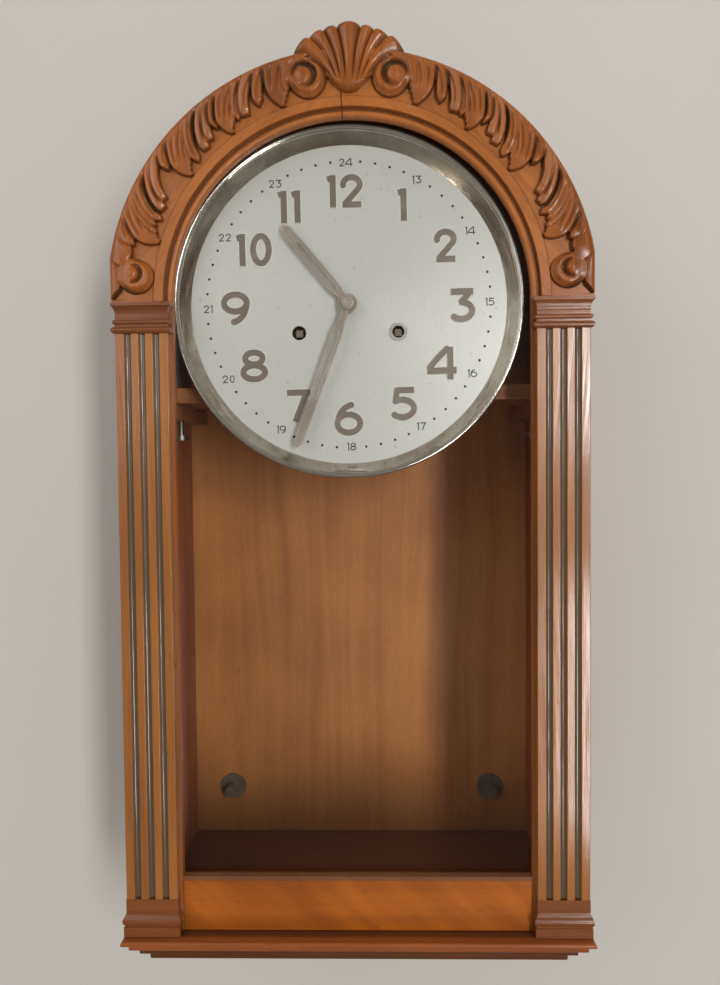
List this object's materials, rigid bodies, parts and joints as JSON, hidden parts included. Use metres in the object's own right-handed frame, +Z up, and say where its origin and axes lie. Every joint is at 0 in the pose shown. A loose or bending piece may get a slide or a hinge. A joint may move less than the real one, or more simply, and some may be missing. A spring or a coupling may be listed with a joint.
{
  "type": "wall clock",
  "caption": "Arched wooden wall clock case with a carved glazed door, fluted pilasters, silvered dial with bright bezel, hands and a spring-driven movement behind it.",
  "frame": {"origin": "centre of the screw hole in the wall hanger, in the plane of the wall", "axes": "+Z up, the dial and door look along -Y, +X to the right of someone facing the clock"},
  "size_m": [0.308, 0.157, 0.6036],
  "materials": {
    "case_wood": "satin lacquer",
    "panel_wood": "satin lacquer, upright grain",
    "base_wood": "satin lacquer",
    "door_wood": "satin lacquer",
    "pilaster_wood": "satin lacquer, dark flutes",
    "carved_wood": "satin lacquer, dark in the hollows",
    "glass": "clear, finely scratched",
    "silvered_dial": "silvered satin",
    "bright_bezel": "polished plate",
    "hand_metal": "plated, half matt",
    "brass": "lacquered, slightly dulled",
    "steel": "turned",
    "cast_iron": "black enamel"
  },
  "bodies": {
    "case": {"back_panel": "panel_wood", "wall_hanger": "brass", "case_side_left": "case_wood", "case_side_right": "case_wood", "case_hood": "case_wood", "base_board": "base_wood", "base_steps": "base_wood", "seat_board": "case_wood", "seat_cleats": "case_wood", "seat_thumb_screws": "steel", "stabiliser_rosettes": "brass", "case_hinge_leaves": "brass", "hook_pivot": "brass", "dial_plate": "silvered_dial", "dial_bezel": "bright_bezel", "winding_ferrule": "bright_bezel", "dial_feet": "brass", "minute_wheel_stud": "steel", "movement_front_plate": "brass", "movement_back_plate": "brass", "movement_pillars": "brass", "suspension_cock": "brass", "gong_block": "cast_iron", "gong_rods": "steel"},
    "door": {"door_rail": "door_wood", "door_stile_left": "door_wood", "door_stile_right": "door_wood", "door_arch_left": "door_wood", "door_arch_right": "door_wood", "pilasters": "pilaster_wood", "capitals": "pilaster_wood", "plinths": "pilaster_wood", "shell_crest": "carved_wood", "leaf_spray_left": "carved_wood", "leaf_spray_right": "carved_wood", "glass_pane": "glass", "glass_beads": "door_wood", "door_hinge_leaves": "brass", "hook_pin": "brass"},
    "hook": {"door_hook": "brass"},
    "minute_hand": {"minute_hand": "hand_metal", "cannon_pinion": "steel", "hand_nut": "hand_metal"},
    "minute_wheel": {"minute_wheel": "brass"},
    "hour_hand": {"hour_hand": "hand_metal", "hour_wheel": "brass"},
    "time_winder": {"time_winding_arbor": "steel"},
    "strike_winder": {"strike_winding_arbor": "steel"},
    "time_barrel": {"time_barrel": "brass"},
    "strike_barrel": {"strike_barrel": "brass"},
    "second_wheel": {"second_wheel": "brass"},
    "centre_wheel": {"centre_wheel": "steel"},
    "third_wheel": {"third_wheel": "brass"},
    "escape_wheel": {"escape_wheel": "brass"},
    "anchor": {"anchor_crutch": "steel"},
    "pendulum": {"pendulum_leader": "steel"},
    "hammer": {"hammer": "steel"},
    "stabiliser_left": {"stabiliser_screw_left": "steel"},
    "stabiliser_right": {"stabiliser_screw_right": "steel"}
  },
  "joints": [
    {"name": "door_swing", "type": "hinge", "parent": "case", "child": "door", "pos_m": [0.15, -0.12775, -0.312], "axis": [0, 0, 1], "range_deg": [0, 110]},
    {"name": "hook_swing", "type": "hinge", "parent": "case", "child": "hook", "pos_m": [-0.1513, -0.112, -0.317], "axis": [-1, 0, 0], "range_deg": [0, 90]},
    {"name": "minute_hand_turn", "type": "hinge", "parent": "case", "child": "minute_hand", "pos_m": [-0.0025, -0.085, -0.112], "axis": [0, 1, 0], "continuous": true},
    {"name": "minute_wheel_turn", "type": "hinge", "parent": "case", "child": "minute_wheel", "pos_m": [-0.01432, -0.085, -0.09687], "axis": [0, 1, 0], "continuous": true},
    {"name": "hour_hand_turn", "type": "hinge", "parent": "case", "child": "hour_hand", "pos_m": [-0.0025, -0.085, -0.112], "axis": [0, 1, 0], "continuous": true},
    {"name": "escape_wheel_turn", "type": "hinge", "parent": "case", "child": "escape_wheel", "pos_m": [-0.0025, -0.085, -0.085], "axis": [0, 1, 0], "continuous": true},
    {"name": "third_wheel_turn", "type": "hinge", "parent": "case", "child": "third_wheel", "pos_m": [-0.01029, -0.085, -0.09711], "axis": [0, 1, 0], "continuous": true},
    {"name": "centre_wheel_turn", "type": "hinge", "parent": "case", "child": "centre_wheel", "pos_m": [-0.0025, -0.085, -0.112], "axis": [0, 1, 0], "continuous": true},
    {"name": "second_wheel_turn", "type": "hinge", "parent": "case", "child": "second_wheel", "pos_m": [0.0179, -0.085, -0.10363], "axis": [0, 1, 0], "continuous": true},
    {"name": "time_barrel_turn", "type": "hinge", "parent": "case", "child": "time_barrel", "pos_m": [0.0304, -0.085, -0.1298], "axis": [0, 1, 0], "continuous": true},
    {"name": "strike_barrel_turn", "type": "hinge", "parent": "case", "child": "strike_barrel", "pos_m": [-0.0354, -0.085, -0.1298], "axis": [0, 1, 0], "continuous": true},
    {"name": "time_winding", "type": "hinge", "parent": "case", "child": "time_winder", "pos_m": [0.0304, -0.085, -0.1298], "axis": [0, 1, 0], "continuous": true},
    {"name": "strike_winding", "type": "hinge", "parent": "case", "child": "strike_winder", "pos_m": [-0.0354, -0.085, -0.1298], "axis": [0, 1, 0], "continuous": true},
    {"name": "anchor_swing", "type": "hinge", "parent": "case", "child": "anchor", "pos_m": [-0.0025, -0.085, -0.0685], "axis": [0, 1, 0], "range_deg": [-3, 3]},
    {"name": "pendulum_swing", "type": "hinge", "parent": "case", "child": "pendulum", "pos_m": [-0.0025, -0.045, -0.0685], "axis": [0, 1, 0], "range_deg": [-3, 3]},
    {"name": "hammer_lift", "type": "hinge", "parent": "case", "child": "hammer", "pos_m": [0.0365, -0.085, -0.079], "axis": [0, -1, 0], "range_deg": [0, 14]},
    {"name": "stabiliser_left_travel", "type": "slide", "parent": "case", "child": "stabiliser_left", "axis": [0, 1, 0], "range_m": [0, 0.006]},
    {"name": "stabiliser_right_travel", "type": "slide", "parent": "case", "child": "stabiliser_right", "axis": [0, 1, 0], "range_m": [0, 0.006]}
  ],
  "couplings": [
    {"joint": "minute_wheel_turn", "follows": "minute_hand_turn", "ratio": -0.33333},
    {"joint": "hour_hand_turn", "follows": "minute_hand_turn", "ratio": 0.083333},
    {"joint": "third_wheel_turn", "follows": "escape_wheel_turn", "ratio": -0.11111},
    {"joint": "centre_wheel_turn", "follows": "escape_wheel_turn", "ratio": 0.012346},
    {"joint": "second_wheel_turn", "follows": "escape_wheel_turn", "ratio": -0.0020576},
    {"joint": "time_barrel_turn", "follows": "escape_wheel_turn", "ratio": 0.00042867},
    {"joint": "pendulum_swing", "follows": "anchor_swing", "ratio": 1}
  ]
}
